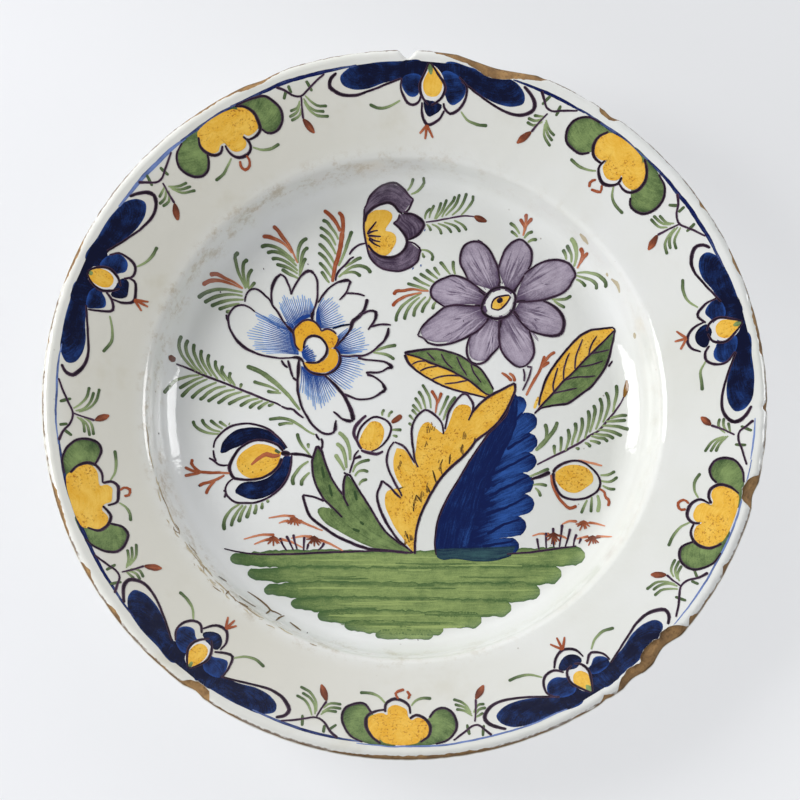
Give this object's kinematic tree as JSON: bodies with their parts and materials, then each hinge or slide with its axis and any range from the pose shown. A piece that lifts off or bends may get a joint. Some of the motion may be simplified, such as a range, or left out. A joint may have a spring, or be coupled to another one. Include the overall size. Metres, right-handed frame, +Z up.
{
  "type": "faience plate",
  "caption": "Round tin-glazed earthenware plate with a wide sloping flange, a curved wall, a flat well and a foot ring.",
  "frame": {"origin": "on the surface that the plate stands on, under the centre of the foot ring", "axes": "+Z up out of the well along the axis that the plate was turned on, +Y towards the top of the painted picture, +X towards its right"},
  "size_m": [0.3502, 0.3502, 0.0511],
  "materials": {
    "dish_clay": "bare fired buff clay, worn brown at the rim",
    "foot_clay": "bare fired buff clay at the standing edge",
    "face_glaze": "glossy white tin glaze with painted flowers and border in blue, yellow, green, purple and red-brown",
    "back_glaze": "glossy white tin glaze, thin and pinholed",
    "recess_glaze": "glossy white tin glaze, thin and pinholed"
  },
  "bodies": {
    "root": {"dish_body": "dish_clay", "foot_ring": "foot_clay", "face_glaze": "face_glaze", "back_glaze": "back_glaze", "foot_recess_glaze": "recess_glaze"}
  },
  "joints": []
}
